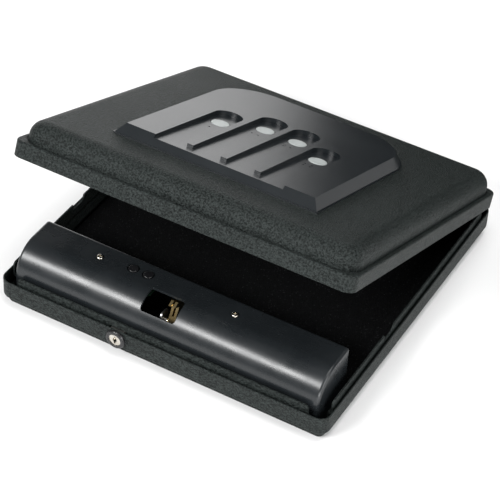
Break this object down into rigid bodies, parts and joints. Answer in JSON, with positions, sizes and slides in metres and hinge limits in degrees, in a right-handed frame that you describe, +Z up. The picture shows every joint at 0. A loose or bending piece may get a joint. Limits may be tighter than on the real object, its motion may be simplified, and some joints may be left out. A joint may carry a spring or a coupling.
{
  "type": "handgun safe",
  "caption": "Clamshell pistol safe: folded steel base and domed lid on a rear piano hinge, finger-channel keypad, moulded latch cover and key override lock",
  "frame": {"origin": "centre of the underside of the base, on the surface that the safe stands on", "axes": "+X to the right of somebody facing the lock, +Y from the lock to the hinge, +Z up"},
  "size_m": [0.2794, 0.2872, 0.1502],
  "materials": {
    "powder_steel": "fine textured powder coat",
    "gloss_cover": "moulded, glossy",
    "satin_pad": "moulded, satin",
    "key_grey": "moulded, smooth",
    "black_button": "moulded, satin",
    "foam": "open-cell foam",
    "nickel": "nickel plated",
    "zinc_steel": "zinc plated",
    "black_lock": "black finished zinc casting",
    "brass": "plain brass",
    "rivet_steel": "blackened",
    "circuit_board": "solder mask",
    "component_black": "moulded",
    "battery_jacket": "printed steel jacket, plain"
  },
  "bodies": {
    "base": {"base_shell": "powder_steel", "inner_pan": "powder_steel", "base_foam": "foam", "electronics_cover": "gloss_cover", "battery_door": "gloss_cover", "cover_screws": "nickel", "cover_posts": "zinc_steel", "control_board": "circuit_board", "setup_switches": "component_black", "beeper": "component_black", "board_chips": "component_black", "board_screws": "nickel", "battery": "battery_jacket", "battery_snap": "component_black", "battery_cradle": "component_black", "latch_bracket": "zinc_steel", "hook_pivot": "nickel", "hook_spring": "nickel", "solenoid_frame": "zinc_steel", "solenoid_coil": "component_black", "lock_housing": "black_lock", "lock_nut": "zinc_steel", "hinge_leaf_base": "powder_steel", "hinge_pin": "nickel", "hinge_rivets_base": "rivet_steel"},
    "lid": {"lid_shell": "powder_steel", "hinge_leaf_lid": "powder_steel", "hinge_rivets_lid": "rivet_steel", "lid_foam": "foam", "keypad_housing": "satin_pad", "keypad_board": "circuit_board", "key_switches": "component_black", "key_board_screws": "nickel", "housing_screws": "nickel", "striker": "zinc_steel"},
    "hook": {"latch_hook": "brass"},
    "plunger": {"solenoid_plunger": "zinc_steel"},
    "plug": {"lock_plug": "nickel", "lock_cam": "zinc_steel", "cam_screw": "nickel"},
    "mute": {"mute_button": "black_button"},
    "learn": {"learn_button": "black_button"},
    "key_1": {"key_1": "key_grey"},
    "key_2": {"key_2": "key_grey"},
    "key_3": {"key_3": "key_grey"},
    "key_4": {"key_4": "key_grey"}
  },
  "joints": [
    {"name": "lid_hinge", "type": "hinge", "parent": "base", "child": "lid", "pos_m": [0, 0.1421, 0.02325], "axis": [-1, 0, 0], "range_deg": [-22, 73]},
    {"name": "hook_turn", "type": "hinge", "parent": "base", "child": "hook", "pos_m": [-0.0025, -0.113, 0.026], "axis": [1, 0, 0], "range_deg": [0, 30], "stiffness_Nm_per_rad": 0.05, "springref_deg": -28.65},
    {"name": "plunger_slide", "type": "slide", "parent": "base", "child": "plunger", "axis": [1, 0, 0], "range_m": [0, 0.004], "stiffness_N_per_m": 150, "springref_m": -0.004},
    {"name": "key_turn", "type": "hinge", "parent": "base", "child": "plug", "pos_m": [-0.035, -0.13, 0.015], "axis": [0, 1, 0], "range_deg": [0, 80]},
    {"name": "mute_press", "type": "slide", "parent": "base", "child": "mute", "axis": [0, 0, -1], "range_m": [0, 0.0008], "stiffness_N_per_m": 400, "springref_m": -0.0005},
    {"name": "learn_press", "type": "slide", "parent": "base", "child": "learn", "axis": [0, 0, -1], "range_m": [0, 0.0008], "stiffness_N_per_m": 400, "springref_m": -0.0005},
    {"name": "key_1_press", "type": "slide", "parent": "lid", "child": "key_1", "axis": [0, -0.3746, -0.9272], "range_m": [0, 0.0007], "stiffness_N_per_m": 500, "springref_m": -0.0005},
    {"name": "key_2_press", "type": "slide", "parent": "lid", "child": "key_2", "axis": [0, -0.3746, -0.9272], "range_m": [0, 0.0007], "stiffness_N_per_m": 500, "springref_m": -0.0005},
    {"name": "key_3_press", "type": "slide", "parent": "lid", "child": "key_3", "axis": [0, -0.3746, -0.9272], "range_m": [0, 0.0007], "stiffness_N_per_m": 500, "springref_m": -0.0005},
    {"name": "key_4_press", "type": "slide", "parent": "lid", "child": "key_4", "axis": [0, -0.3746, -0.9272], "range_m": [0, 0.0007], "stiffness_N_per_m": 500, "springref_m": -0.0005}
  ]
}
